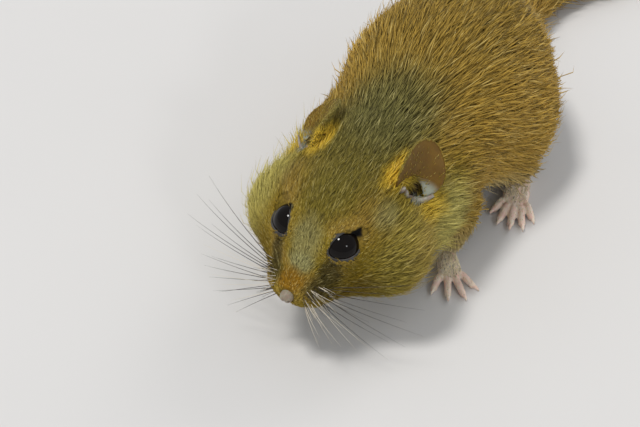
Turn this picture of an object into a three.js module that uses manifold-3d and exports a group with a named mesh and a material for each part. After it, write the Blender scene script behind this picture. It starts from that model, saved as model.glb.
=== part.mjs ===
// A hazel dormouse as a life-size still model, standing on four feet with its tail laid on the floor.
// Millimetres, +Z up. The animal looks along -Y, its left side is +X, and its feet rest at z = 0.
import * as THREE from "three";
import { mergeVertices } from "three/addons/utils/BufferGeometryUtils.js";
import Module from "manifold-3d";

const wasm = await Module();
wasm.setup();

// Driving sizes
const GAP = 0.3; // between neighbouring pieces
const SOFT_BLEND = 4.5; // how far two forms of flesh run into each other
const NOSE_TIP = new THREE.Vector3(0, -36.6, 14.6);
const EYE_CENTRE = new THREE.Vector3(4.3, -28.0, 21.25);
const EYE_RADIUS = 2.75;
const LID_RADIUS = 2.3; // half the opening between the lids
const LID_HALF_THICKNESS = 0.45;
const LID_MOST_LIFT = 0.5; // how far past the eye the rim may follow the face
const EAR_ROOT = new THREE.Vector3(8.1, -15.6, 23.4);
const EAR_LENGTH = 9.2;
const EAR_WIDTH = 8.8;
const EAR_THICKNESS = 0.75;
const EAR_CUP = 2.3; // how far the sides of the ear bend forward
const EAR_CURL = 0.9; // how far its rim rolls back
const EAR_SUNK = 2.0; // how far its root reaches into the head
const TAIL_ROOT = new THREE.Vector3(0, 36.0, 11.5);
const TAIL_CORE = 2.3;
const TAIL_COAT = 2.0; // how far the tail's locks stand out past its core
const HEAD_END = -13.5; // y of the cut between head and neck
const NECK_END = -5.5; // y of the cut between neck and torso
const WRIST_HEIGHT = 2.7; // z of the cut between foreleg and paw
const ANKLE_HEIGHT = 3.1; // z of the cut between hind leg and foot
const FLOOR_SIDE = 400;

const COLOURS = {
  fur: 0xb8893a,
  back: 0x96702c,
  ear: 0x8a6434,
  eye: 0x0a0908,
  nose: 0xd9a493,
  skin: 0xe0b7a4,
  tail: 0xa87b34,
};

// Solids

// A closed three.js geometry as a manifold solid, with the sliver faces at its poles left out.
function solid(geometry) {
  const bare = geometry.clone();
  for (const name of ["normal", "uv", "color"]) bare.deleteAttribute(name);
  const merged = mergeVertices(bare, 1e-4);
  const corners = merged.index.array;
  const kept = [];
  for (let i = 0; i < corners.length; i += 3) {
    const [a, b, c] = [corners[i], corners[i + 1], corners[i + 2]];
    if (a !== b && b !== c && c !== a) kept.push(a, b, c);
  }
  const made = new wasm.Manifold(
    new wasm.Mesh({
      numProp: 3,
      vertProperties: new Float32Array(merged.attributes.position.array),
      triVerts: new Uint32Array(kept),
    }),
  );
  if (made.volume() < 0) throw new Error("a piece is inside out");
  return made;
}

// The largest closed surface of a solid, without the scraps of a cut.
function largest(body) {
  return body.decompose().reduce((a, b) => (b.volume() > a.volume() ? b : a));
}

function geometryOf(body) {
  const mesh = body.getMesh();
  const places = new Float32Array(mesh.numVert * 3);
  for (let i = 0; i < mesh.numVert; i++) {
    places.set(mesh.vertProperties.subarray(i * mesh.numProp, i * mesh.numProp + 3), i * 3);
  }
  const geometry = new THREE.BufferGeometry();
  geometry.setAttribute("position", new THREE.BufferAttribute(places, 3));
  geometry.setIndex(new THREE.BufferAttribute(new Uint32Array(mesh.triVerts), 1));
  geometry.computeVertexNormals();
  return geometry;
}

function union(pieces) {
  return pieces.reduce((a, b) => a.add(b));
}

function box(low, high) {
  const geometry = new THREE.BoxGeometry(high.x - low.x, high.y - low.y, high.z - low.z);
  geometry.translate((low.x + high.x) / 2, (low.y + high.y) / 2, (low.z + high.z) / 2);
  return solid(geometry);
}

// Each vertex of a geometry moved to where a function puts it.
function moved(geometry, place) {
  const at = geometry.attributes.position;
  const point = new THREE.Vector3();
  for (let i = 0; i < at.count; i++) {
    point.fromBufferAttribute(at, i);
    const put = place(point, i);
    at.setXYZ(i, put.x, put.y, put.z);
  }
  return geometry;
}

const v = (x, y, z) => new THREE.Vector3(x, y, z);
const mirrored = (p, side) => v(p.x * side, p.y, p.z);

// The flesh as one smooth form

function ellipsoid(centre, radii) {
  return (p) => {
    const x = (p.x - centre.x) / radii.x;
    const y = (p.y - centre.y) / radii.y;
    const z = (p.z - centre.z) / radii.z;
    const near = Math.hypot(x, y, z);
    const slope = Math.hypot(x / radii.x, y / radii.y, z / radii.z);
    return slope < 1e-6 ? -Math.min(radii.x, radii.y, radii.z) : (near * (near - 1)) / slope;
  };
}

function taper(from, to, radiusFrom, radiusTo) {
  const along = to.clone().sub(from);
  const length2 = along.lengthSq();
  return (p) => {
    const off = p.clone().sub(from);
    const share = THREE.MathUtils.clamp(off.dot(along) / length2, 0, 1);
    return off.addScaledVector(along, -share).length() - THREE.MathUtils.lerp(radiusFrom, radiusTo, share);
  };
}

function softMin(a, b, reach) {
  const h = Math.max(reach - Math.abs(a - b), 0) / reach;
  return Math.min(a, b) - (h * h * reach) / 4;
}

function both(make) {
  return [make(1), make(-1)];
}

const HEAD_FORMS = [
  ellipsoid(v(0, -20.2, 19.6), v(10.8, 11.0, 9.4)), // cranium
  ellipsoid(v(0, -25.6, 19.8), v(5.2, 6.0, 4.5)), // forehead
  taper(v(0, -26.8, 17.2), v(0, -33.0, 14.9), 6.3, 2.7), // muzzle
  ...both((s) => ellipsoid(v(6.5 * s, -20.6, 15.5), v(7.6, 8.2, 6.9))), // cheeks
  ...both((s) => ellipsoid(v(3.9 * s, -26.8, 14.8), v(4.0, 4.6, 3.8))), // jowls
  ...both((s) => ellipsoid(v(2.5 * s, -31.7, 13.9), v(2.6, 3.3, 2.4))), // whisker pads
  ellipsoid(v(0, -29.6, 12.2), v(2.9, 4.0, 2.1)), // chin
];
const TRUNK_FORMS = [
  ellipsoid(v(0, -11.0, 17.6), v(11.6, 9.5, 11.4)), // neck
  ellipsoid(v(0, -2.0, 17.2), v(12.8, 13.0, 13.2)), // chest
  ellipsoid(v(0, 12.5, 18.9), v(15.4, 18.0, 15.6)), // belly
  ellipsoid(v(0, 24.5, 17.4), v(14.2, 13.6, 14.2)), // rump
  ...both((s) => ellipsoid(v(9.6 * s, 20.5, 12.0), v(8.4, 11.4, 9.9))), // haunches
  ...both((s) => ellipsoid(v(7.6 * s, -4.0, 13.6), v(6.2, 7.8, 9.0))), // shoulders
  taper(v(0, 32, 13.0), v(0, 37.5, 10.4), 6.6, 3.1), // where the tail begins
];

function smoothField(forms, reach) {
  return (p) => forms.reduce((near, form) => softMin(near, form(p), reach), 1e3);
}
const headField = smoothField(HEAD_FORMS, 2.6);
const trunkField = smoothField(TRUNK_FORMS, SOFT_BLEND);
const flesh = (p) => softMin(headField(p), trunkField(p), 3.5);

// How far a ray from inside a form runs before it leaves it, with the form grown by an amount.
function rayLength(field, from, direction, grown) {
  const inside = (d) => field(from.clone().addScaledVector(direction, d)) < grown;
  let near = 0;
  let far = 0.25;
  while (inside(far) && far < 40) {
    near = far;
    far += 0.5;
  }
  for (let i = 0; i < 22; i++) {
    const middle = (near + far) / 2;
    if (inside(middle)) near = middle;
    else far = middle;
  }
  return near;
}

// A ball wrapped on a form: its poles run along a spine, and each ring lies in the spine's own cross-section.
function wrapped(field, spine, rings, around, grown, station = (t) => t) {
  const ball = new THREE.SphereGeometry(1, around, rings);
  const start = spine.getPoint(0);
  const end = spine.getPoint(1);
  const first = spine.getTangent(0).negate();
  const last = spine.getTangent(1);
  const tipA = start.clone().addScaledVector(first, rayLength(field, start, first, grown));
  const tipB = end.clone().addScaledVector(last, rayLength(field, end, last, grown));
  const rows = [];
  for (let row = 0; row <= rings; row++) {
    const t = station(row / rings);
    rows.push({ at: spine.getPoint(t), along: spine.getTangent(t) });
  }
  return moved(ball, (p, i) => {
    const row = Math.floor(i / (around + 1));
    if (row === 0) return tipA;
    if (row === rings) return tipB;
    const { at, along } = rows[row];
    const side = v(1, 0, 0);
    const up = side.clone().cross(along).normalize();
    const turn = ((i % (around + 1)) / around) * Math.PI * 2;
    // The rings nearest the two ends lean towards them, so that the ends are round.
    const lean = row <= 3 ? -Math.cos((row / 4) * (Math.PI / 2)) : row >= rings - 3
      ? Math.cos(((rings - row) / 4) * (Math.PI / 2)) : 0;
    const out = side
      .multiplyScalar(-Math.cos(turn))
      .addScaledVector(up, -Math.sin(turn))
      .multiplyScalar(Math.sqrt(1 - lean * lean))
      .addScaledVector(along, lean)
      .normalize();
    return at.clone().addScaledVector(out, rayLength(field, at, out, grown));
  });
}

const SPINE = new THREE.CatmullRomCurve3([
  v(0, -34.6, 14.2),
  v(0, -29.5, 16.6),
  v(0, -21.5, 18.2),
  v(0, -12.0, 17.8),
  v(0, 0, 17.4),
  v(0, 13, 18.0),
  v(0, 25, 16.6),
  v(0, 34.5, 12.2),
]);
const BODY_RINGS = 38;
const BODY_AROUND = 30;
// The rings lie closer together on the head than on the trunk.
const bodyStation = (t) => t * (0.62 + 0.38 * t);

function wholeBody(grown) {
  return solid(wrapped(flesh, SPINE, BODY_RINGS, BODY_AROUND, grown, bodyStation));
}

// Limbs, fingers and other forms that run along a line

// A closed round-ended form along a curve. Its half width and half height are functions of the way along it.
function limb(points, halfWidth, halfHeight, rings, around, upHint = v(0, 0, 1)) {
  const curve = new THREE.CatmullRomCurve3(points);
  const ball = new THREE.SphereGeometry(1, around, rings);
  return solid(
    moved(ball, (p, i) => {
      const row = Math.floor(i / (around + 1));
      const t = row / rings;
      const along = curve.getTangent(t);
      const side = along.clone().cross(upHint).normalize();
      const up = side.clone().cross(along).normalize();
      const turn = ((i % (around + 1)) / around) * Math.PI * 2;
      const round = Math.sin(Math.acos(THREE.MathUtils.clamp(endShape(t), -1, 1)));
      if (row === 0 || row === rings) return curve.getPoint(t);
      return curve
        .getPoint(t)
        .addScaledVector(side, -Math.cos(turn) * halfWidth(t) * round)
        .addScaledVector(up, -Math.sin(turn) * halfHeight(t) * round);
    }),
  );
}

// -1 at the start of a limb and 1 at its end, and near 0 between, so that only the ends are rounded.
function endShape(t) {
  const ends = 0.16;
  if (t < ends) return t / ends - 1;
  if (t > 1 - ends) return (t - 1 + ends) / ends;
  return 0;
}

// Straight runs between named values, for a limb's half width and half height.
function steps(...values) {
  return (t) => {
    const at = t * (values.length - 1);
    const i = Math.min(Math.floor(at), values.length - 2);
    return THREE.MathUtils.lerp(values[i], values[i + 1], at - i);
  };
}

// Head

function surfacePoint(from, direction) {
  const way = direction.clone().normalize();
  return from.clone().addScaledVector(way, rayLength(flesh, from, way, 0));
}

// A groove's tube that runs along points on the skin.
function groove(points, radius, stretches) {
  const section = new THREE.Shape().absarc(0, 0, radius, 0, Math.PI * 2);
  return solid(
    new THREE.ExtrudeGeometry(section, {
      extrudePath: new THREE.CatmullRomCurve3(points),
      steps: stretches,
      curveSegments: 3,
      bevelEnabled: false,
    }),
  );
}

// The opening between the lids, drawn round the eye: nearly round, with a point at its upper back corner.
const LID_CORNER = { turn: 2.55, reach: 0.24, spread: 0.42 }; // the turn counts from the forward direction
function lidRadius(turn) {
  const away = turn - LID_CORNER.turn;
  const off = Math.atan2(Math.sin(away), Math.cos(away));
  return LID_RADIUS * (1 + LID_CORNER.reach * Math.exp(-((off / LID_CORNER.spread) ** 2)));
}

// The eye looks out sideways, a little forward and up.
const EYE_LOOK = v(0.62, -0.4, 0.67);
const MUZZLE_WAY = v(0, -1, -0.35);
function eyeAxes(side) {
  const out = mirrored(EYE_LOOK, side).normalize();
  const forward = MUZZLE_WAY.clone().addScaledVector(out, -MUZZLE_WAY.dot(out)).normalize();
  const up = forward.clone().cross(out).multiplyScalar(side).normalize();
  return { out, forward, up };
}

// A raised rim of skin that follows the opening between the lids, where the eye meets the face.
function lid(side) {
  const { out, forward, up } = eyeAxes(side);
  const centre = mirrored(EYE_CENTRE, side);
  const tube = 0.2;
  const ring = new THREE.TorusGeometry(1, tube, 4, 16);
  moved(ring, (p) => {
    const turn = Math.atan2(p.y, p.x);
    const reach = lidRadius(turn);
    const aside = forward.clone().multiplyScalar(Math.cos(turn)).addScaledVector(up, Math.sin(turn));
    const way = out
      .clone()
      .multiplyScalar(Math.sqrt(Math.max(0.2, EYE_RADIUS ** 2 - reach ** 2)))
      .addScaledVector(aside, reach)
      .normalize();
    const face = rayLength(flesh, centre, way, 0);
    const distance = THREE.MathUtils.clamp(face, EYE_RADIUS + 0.1, EYE_RADIUS + LID_MOST_LIFT);
    const scale = LID_HALF_THICKNESS / tube;
    return centre
      .clone()
      .addScaledVector(way, distance + p.z * scale)
      .addScaledVector(aside, (Math.hypot(p.x, p.y) - 1) * scale);
  });
  if (side > 0) flipFaces(ring);
  return solid(ring);
}

function flipFaces(geometry) {
  const corners = geometry.index.array;
  for (let i = 0; i < corners.length; i += 3) {
    [corners[i + 1], corners[i + 2]] = [corners[i + 2], corners[i + 1]];
  }
}

function ball(centre, radius, across = 20) {
  const geometry = new THREE.SphereGeometry(radius, across, Math.round(across * 0.65));
  geometry.translate(centre.x, centre.y, centre.z);
  return solid(geometry);
}

function eye(side) {
  return ball(mirrored(EYE_CENTRE, side), EYE_RADIUS, 16);
}

function headDetails(head) {
  let made = head;
  for (const side of [1, -1]) {
    made = made.add(lid(side));
    made = made.subtract(ball(mirrored(EYE_CENTRE, side), EYE_RADIUS + GAP, 16));
  }
  const mouthRoot = v(0, -31.5, 13.2);
  const lips = [];
  for (const [x, y, z] of [
    [-5.2, -1.2, -2.0],
    [-4.6, -2.6, -2.4],
    [-2.9, -3.6, -2.5],
    [-1.2, -4.0, -1.9],
    [0, -4.0, -1.6],
    [1.2, -4.0, -1.9],
    [2.9, -3.6, -2.5],
    [4.6, -2.6, -2.4],
    [5.2, -1.2, -2.0],
  ]) {
    lips.push(surfacePoint(mouthRoot, v(x, y, z)));
  }
  made = made.subtract(groove(lips, 0.26, 10));
  const parting = [0.0, 0.35, 0.7, 1.0].map((t) =>
    surfacePoint(mouthRoot, v(0, -4.0, THREE.MathUtils.lerp(-1.6, -0.4, t))),
  );
  return made.subtract(groove(parting, 0.2, 3));
}

// The bare nose: a pad with two rounded wings and a nostril under each.
function nose() {
  const pad = new THREE.SphereGeometry(1, 14, 9);
  moved(pad, (p) => {
    const notch = 1 - 0.3 * Math.exp(-((p.x / 0.28) ** 2)) * Math.max(0, p.z);
    return v(
      NOSE_TIP.x + p.x * 1.65,
      NOSE_TIP.y + 0.9 + p.y * 1.25 * notch,
      NOSE_TIP.z + p.z * 1.15 * notch - Math.abs(p.x) * 0.15,
    );
  });
  let made = solid(pad);
  for (const side of [1, -1]) {
    made = made.subtract(ball(v(0.82 * side, NOSE_TIP.y - 0.1, NOSE_TIP.z - 0.15), 0.34, 8));
  }
  return made;
}

// Ears

const EAR_LEAN = { left: v(0.2, 0.45, 0.87), right: v(0.06, 0.6, 0.8) };
const EAR_OPENING = v(0.78, -0.6, 0.1);
const EAR_NARROW = 0.66; // the root's share of the full width

// The pinna is a thin round leaf, bent lengthwise into a cup that opens outward and forward.
function ear(side, lean) {
  const root = mirrored(EAR_ROOT, side);
  const along = mirrored(lean, side).normalize();
  const opening = mirrored(EAR_OPENING, side);
  opening.addScaledVector(along, -opening.dot(along)).normalize();
  const across = along.clone().cross(opening).normalize();
  const leaf = new THREE.SphereGeometry(1, 18, 14);
  const { smoothstep } = THREE.MathUtils;
  moved(leaf, (p) => {
    const length = (p.y * 0.5 + 0.5) * (EAR_LENGTH + EAR_SUNK) - EAR_SUNK;
    const width = p.x * (EAR_WIDTH / 2) * (EAR_NARROW + (1 - EAR_NARROW) * smoothstep(p.y, -1, 0.15));
    const cup = EAR_CUP * p.x * p.x * (1 - 0.35 * smoothstep(p.y, -0.2, 1));
    const curl = EAR_CURL * smoothstep(p.y, 0.1, 1) ** 2;
    const thick = Math.sign(p.z) * Math.abs(p.z) ** 0.6 * (EAR_THICKNESS / 2) * (1.5 - 0.5 * p.y);
    return root
      .clone()
      .addScaledVector(along, length)
      .addScaledVector(across, width)
      .addScaledVector(opening, cup - curl + thick - EAR_THICKNESS);
  });
  return solid(leaf);
}

// Feet

const CLAW_TIP = 0.1; // half its thickness
const SOLE_SUNK = 0.12; // how much of a sole the floor takes off, so that it stands on a small flat

// One finger or toe: two joints, a pad under its tip and a hooked claw.
function digit(root, turn, length, radius) {
  const ahead = v(Math.sin(turn), -Math.cos(turn), 0);
  const at = (along, up) => root.clone().setZ(0).addScaledVector(ahead, along).setZ(up);
  const bone = limb(
    [at(-0.9, root.z), at(length * 0.4, radius * 1.75), at(length * 0.8, radius * 1.1), at(length, radius)],
    steps(radius * 1.15, radius, radius * 0.85, radius * 0.95),
    steps(radius * 1.15, radius, radius * 0.8, radius),
    5,
    6,
  );
  const claw = limb(
    [at(length - 0.5, radius * 1.1), at(length + 0.35, radius * 1.35), at(length + 1.0, 0.35)],
    steps(radius * 0.6, radius * 0.42, CLAW_TIP),
    steps(radius * 0.6, radius * 0.45, CLAW_TIP),
    3,
    4,
  );
  return bone.add(claw);
}

// A paw or hind foot: a flat-soled palm, its digits spread like a fan, and its heel.
function foot(centre, turn, size) {
  const ahead = v(Math.sin(turn), -Math.cos(turn), 0);
  const across = v(Math.cos(turn), Math.sin(turn), 0);
  const back = centre.clone().addScaledVector(ahead, -size.length * 0.5).setZ(size.heelHeight - SOLE_SUNK);
  const front = centre.clone().addScaledVector(ahead, size.length * 0.5).setZ(size.toeHeight - SOLE_SUNK);
  const middle = centre.clone().setZ((size.heelHeight + size.toeHeight) / 2);
  const palm = limb(
    [back, middle, front],
    steps(size.heelWidth, size.heelWidth * 1.05, size.width * 0.9, size.width, size.width * 0.85),
    steps(size.heelHeight, size.heelHeight, size.toeHeight * 1.05, size.toeHeight),
    6,
    10,
  );
  const pieces = [palm];
  const count = size.digits.length;
  size.digits.forEach((length, i) => {
    const share = count > 1 ? i / (count - 1) - 0.5 : 0;
    const root = front
      .clone()
      .addScaledVector(across, share * size.width * 1.75)
      .addScaledVector(ahead, -0.6 - size.setBack * share * share * 4)
      .setZ(size.toeHeight * 0.95);
    pieces.push(digit(root, turn + share * size.spread, length, size.digitRadius));
  });
  return union(pieces);
}

const PAW = {
  length: 4.6,
  width: 1.9,
  heelWidth: 1.45,
  heelHeight: 1.5,
  toeHeight: 1.15,
  digits: [3.3, 4.1, 4.2, 3.4],
  digitRadius: 0.52,
  spread: 1.15,
  setBack: 0.5,
};
const HIND_FOOT = {
  length: 10.4,
  width: 2.2,
  heelWidth: 1.5,
  heelHeight: 1.9,
  toeHeight: 1.25,
  digits: [3.0, 4.2, 4.6, 4.4, 3.2],
  digitRadius: 0.6,
  spread: 1.0,
  setBack: 0.9,
};

// Where each foot stands, and how far it turns out
const STANCE = {
  left: {
    side: 1,
    paw: v(13.6, -5.8, 0),
    pawTurn: 0.7,
    elbow: v(10.8, 0.2, 9.0),
    heel: v(15.2, 17.6, 0),
    heelTurn: 0.3,
    knee: v(13.0, 17.0, 7.6),
  },
  right: {
    side: -1,
    paw: v(-12.4, -11.0, 0),
    pawTurn: -0.34,
    elbow: v(-10.8, -3.2, 9.0),
    heel: v(-15.0, 16.0, 0),
    heelTurn: -0.34,
    knee: v(-13.0, 15.8, 7.6),
  },
};

function forearm({ side, elbow, paw, pawTurn }, grown = 0) {
  const wrist = paw.clone().add(v(-Math.sin(pawTurn) * 1.5, Math.cos(pawTurn) * 1.5, 2.1));
  return limb(
    [elbow.clone().add(v(-1.6 * side, 1.2, 4.5)), elbow, elbow.clone().lerp(wrist, 0.55), wrist],
    steps(4.4 + grown, 4.1 + grown, 3.3 + grown, 2.3 + grown, 1.7 + grown),
    steps(4.6 + grown, 4.4 + grown, 3.3 + grown, 2.2 + grown, 1.5 + grown),
    7,
    12,
    v(side, 0, 0),
  );
}

// The folded hind leg under the haunch: shin from the knee down to the ankle.
function shin({ side, heel, heelTurn, knee }, grown = 0) {
  const ankle = heel.clone().add(v(-Math.sin(heelTurn) * 4.2, Math.cos(heelTurn) * 4.2, 2.8));
  return limb(
    [knee.clone().add(v(-1.5 * side, -1, 1.5)), knee.clone().lerp(ankle, 0.5), ankle],
    steps(4.8 + grown, 4.4 + grown, 3.2 + grown, 2.2 + grown),
    steps(5.2 + grown, 4.4 + grown, 3.2 + grown, 2.2 + grown),
    7,
    12,
    v(side, 0, 0),
  );
}

// The stretch of skin that belongs to a leg, as a closed form that cuts the body.
const HAUNCH = { centre: v(15.6, 20.4, 9.8), radii: v(9.6, 11.6, 12.4) };
const SHOULDER = { centre: v(13.4, -3.6, 10.6), radii: v(6.9, 6.6, 9.4) };

function legCutter({ centre, radii }, side, grown) {
  const round = new THREE.SphereGeometry(1, 18, 12);
  const at = mirrored(centre, side);
  const reach = radii.clone().addScalar(grown);
  return solid(moved(round, (p) => p.clone().multiply(reach).add(at)));
}

// Tail

const TAIL_LINE = new THREE.CatmullRomCurve3([
  TAIL_ROOT,
  v(-0.6, 41.0, 8.3),
  v(-1.6, 46.5, 5.2),
  v(-3.2, 54.0, 4.35),
  v(-3.4, 63.0, 4.3),
  v(-0.6, 72.0, 4.25),
  v(4.4, 80.0, 4.1),
  v(10.0, 87.0, 3.6),
]);
const TAIL_PARTS = [
  { name: "tail_root", from: 0, to: 0.31 },
  { name: "tail_middle", from: 0.31, to: 0.64 },
  { name: "tail_end", from: 0.64, to: 1 },
];
const tailCoreRadius = (t) => TAIL_CORE * THREE.MathUtils.lerp(1.18, 0.72, t);
const LOCK_ROWS = 13;
const LOCKS_ROUND = 5;
const LOCK_LENGTH = 9.6;
const LOCK_HALF_WIDTH = 2.7;
const LOCK_HALF_THICKNESS = 0.5;

// Repeatable draws
let drawn = 20251;
function draw() {
  drawn = (drawn * 16807) % 2147483647;
  return drawn / 2147483647;
}

function tailSpot(t) {
  const at = TAIL_LINE.getPoint(t);
  const along = TAIL_LINE.getTangent(t);
  const side = along.clone().cross(v(0, 0, 1)).normalize();
  const up = side.clone().cross(along).normalize();
  return { at, along, side, up };
}

// A flat, tapered lock of fur that leaves the core and bends back along the tail.
function lock(t, turn, length, stand) {
  const { at, along, side, up } = tailSpot(t);
  const out = side.clone().multiplyScalar(Math.cos(turn)).addScaledVector(up, Math.sin(turn));
  const across = along.clone().cross(out).normalize();
  const root = at.clone().addScaledVector(out, tailCoreRadius(t) * 0.45);
  const leaf = new THREE.SphereGeometry(1, 4, 3);
  return solid(
    moved(leaf, (p) => {
      const way = 1 - (p.y * 0.5 + 0.5);
      const rise = stand * Math.sin(Math.min(1, way * 1.35) * Math.PI * 0.5);
      const width = LOCK_HALF_WIDTH * (1 - 0.3 * way);
      return root
        .clone()
        .addScaledVector(along, way * length)
        .addScaledVector(out, rise + p.z * LOCK_HALF_THICKNESS)
        .addScaledVector(across, -p.x * width);
    }),
  );
}

// A large block whose one face passes square through the tail, on the side that the sign tells.
function tailBlock(t, sign, shift) {
  const { at, along } = tailSpot(t);
  const size = 160;
  const block = new THREE.BoxGeometry(size, size, size);
  block.translate(0, 0, (sign * size) / 2);
  block.applyQuaternion(new THREE.Quaternion().setFromUnitVectors(v(0, 0, 1), along));
  const face = at.clone().addScaledVector(along, shift);
  block.translate(face.x, face.y, face.z);
  return solid(block);
}

function tailCore() {
  const points = [];
  for (let i = 0; i <= 24; i++) points.push(TAIL_LINE.getPoint(i / 24));
  return limb(points, tailCoreRadius, tailCoreRadius, 24, 8);
}

// The whole tail: its core, and rows of locks that overlap like the hairs of a soft brush.
function wholeTail() {
  const pieces = [tailCore()];
  for (let row = 0; row < LOCK_ROWS; row++) {
    for (let k = 0; k < LOCKS_ROUND; k++) {
      const t = (row + 0.3 + 0.4 * draw()) / LOCK_ROWS;
      const turn = ((k + (row % 2) * 0.5 + (draw() - 0.5) * 0.3) / LOCKS_ROUND) * Math.PI * 2;
      const length = LOCK_LENGTH * (0.85 + 0.3 * draw()) * (1 - 0.2 * t);
      const stand = (TAIL_COAT + tailCoreRadius(t) * 0.55) * (0.85 + 0.25 * draw());
      pieces.push(lock(t, turn, length, stand));
    }
  }
  return union(pieces);
}

function tailPart(whole, { from, to }) {
  let made = whole;
  if (from > 0) made = made.intersect(tailBlock(from, 1, GAP / 2));
  if (to < 1) made = made.intersect(tailBlock(to, -1, -GAP / 2));
  return made;
}

// Assembly

const group = new THREE.Group();
const floor = box(v(-FLOOR_SIDE, -FLOOR_SIDE, -60), v(FLOOR_SIDE, FLOOR_SIDE, 0));
const ahead = (y) => box(v(-60, -90, -20), v(60, y, 90));
const behind = (y) => box(v(-60, y, -20), v(60, 90, 90));
const below = (z) => box(v(-60, -90, -20), v(60, 90, z));
const above = (z) => box(v(-60, -90, z), v(60, 90, 90));

function add(name, body, colour, roughness = 0.85) {
  const material = new THREE.MeshStandardMaterial({ color: colour, roughness, metalness: 0 });
  const mesh = new THREE.Mesh(geometryOf(largest(body.subtract(floor))), material);
  mesh.name = name;
  group.add(mesh);
}

const body = wholeBody(0);
const bodyGrown = wholeBody(GAP);

// The head, with its nose, eyes and ears
add("head", headDetails(body.intersect(ahead(HEAD_END - GAP / 2))), COLOURS.fur);
add("nose", nose().subtract(bodyGrown), COLOURS.nose, 0.45);
add("eye_left", eye(1), COLOURS.eye, 0.08);
add("eye_right", eye(-1), COLOURS.eye, 0.08);
add("ear_left", ear(1, EAR_LEAN.left).subtract(bodyGrown), COLOURS.ear);
add("ear_right", ear(-1, EAR_LEAN.right).subtract(bodyGrown), COLOURS.ear);

// The trunk, with the room that its four legs take
let neck = body.intersect(behind(HEAD_END + GAP / 2)).intersect(ahead(NECK_END - GAP / 2));
let torso = body.intersect(behind(NECK_END + GAP / 2));
for (const [name, stance] of Object.entries(STANCE)) {
  const legs = [
    { part: "foreleg", low: "forepaw", upper: SHOULDER, lower: forearm, height: WRIST_HEIGHT },
    { part: "hind_leg", low: "hind_foot", upper: HAUNCH, lower: shin, height: ANKLE_HEIGHT },
  ];
  for (const { part, low, upper, lower, height } of legs) {
    const standing = low === "forepaw"
      ? foot(stance.paw, stance.pawTurn, PAW)
      : foot(stance.heel, stance.heelTurn, HIND_FOOT);
    const whole = body.intersect(legCutter(upper, stance.side, 0)).add(lower(stance)).add(standing);
    add(`${part}_${name}`, whole.intersect(above(height + GAP / 2)), COLOURS.fur);
    add(`${low}_${name}`, whole.intersect(below(height - GAP / 2)), COLOURS.skin, 0.6);
    const room = legCutter(upper, stance.side, GAP).add(lower(stance, GAP));
    neck = neck.subtract(room);
    torso = torso.subtract(room);
  }
}
add("neck", neck, COLOURS.fur);
add("torso", torso, COLOURS.back);

const tail = wholeTail().subtract(bodyGrown);
for (const part of TAIL_PARTS) add(part.name, tailPart(tail, part), COLOURS.tail);

// The origin lies under the middle of the whole animal, on the floor.
const size = new THREE.Box3().setFromObject(group);
group.position.set(-(size.min.x + size.max.x) / 2, -(size.min.y + size.max.y) / 2, -size.min.z);
group.name = "hazel_dormouse";

export default group;
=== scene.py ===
# A hazel dormouse as a life-size still model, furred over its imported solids, on a pale studio floor.
# Metres in the part's own frame: the animal looks along -Y, its left side is +X and the floor is z = 0.
import math

import bmesh
import bpy
import numpy as np
from mathutils import Matrix, Vector
from mathutils.bvhtree import BVHTree


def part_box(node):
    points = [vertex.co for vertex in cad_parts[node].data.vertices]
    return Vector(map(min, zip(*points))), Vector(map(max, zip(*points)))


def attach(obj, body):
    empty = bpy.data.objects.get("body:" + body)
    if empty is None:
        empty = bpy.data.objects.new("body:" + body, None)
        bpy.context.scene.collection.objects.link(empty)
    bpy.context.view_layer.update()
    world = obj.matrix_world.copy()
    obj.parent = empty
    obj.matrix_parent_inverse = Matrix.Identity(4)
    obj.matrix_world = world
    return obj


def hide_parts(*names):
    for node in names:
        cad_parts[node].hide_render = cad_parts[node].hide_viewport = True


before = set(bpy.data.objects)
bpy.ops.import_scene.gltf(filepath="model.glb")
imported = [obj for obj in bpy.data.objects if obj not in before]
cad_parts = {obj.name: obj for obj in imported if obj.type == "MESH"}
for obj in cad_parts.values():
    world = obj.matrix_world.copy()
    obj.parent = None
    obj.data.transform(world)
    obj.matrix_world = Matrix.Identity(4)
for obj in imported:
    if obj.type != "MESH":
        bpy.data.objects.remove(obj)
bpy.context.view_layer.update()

MM = 0.001
SIDES = {"left": 1, "right": -1}
scene = bpy.context.scene
rng = np.random.default_rng(4117)


def middle_of(node):
    low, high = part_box(node)
    return (low + high) / 2


# The body is laid out in millimetres from a point on the floor under the chest.
EYE_IN_LAYOUT = Vector((4.3, -28.0, 21.25))
LAYOUT_ORIGIN = middle_of("eye_left") - EYE_IN_LAYOUT * MM


def at(x, y, z):
    return LAYOUT_ORIGIN + Vector((x, y, z)) * MM


def layout(points):
    """Points of the scene as rows of millimetres in the layout."""
    return (np.asarray(points, float).reshape(-1, 3) - np.array(LAYOUT_ORIGIN)) / MM


def smooth(low, high, value):
    share = np.clip((value - low) / (high - low), 0.0, 1.0)
    return share * share * (3 - 2 * share)


def unit(rows):
    return rows / (np.linalg.norm(rows, axis=-1, keepdims=True) + 1e-12)


def lengths(rows):
    return np.linalg.norm(rows, axis=1)


def from_nose(p):
    return lengths(p - NOSE_TIP)


def on_left(p):
    """Layout points, with those of the right side mirrored to the left."""
    return np.abs(p) * [1, 0, 0] + p * [0, 1, 1]


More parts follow.
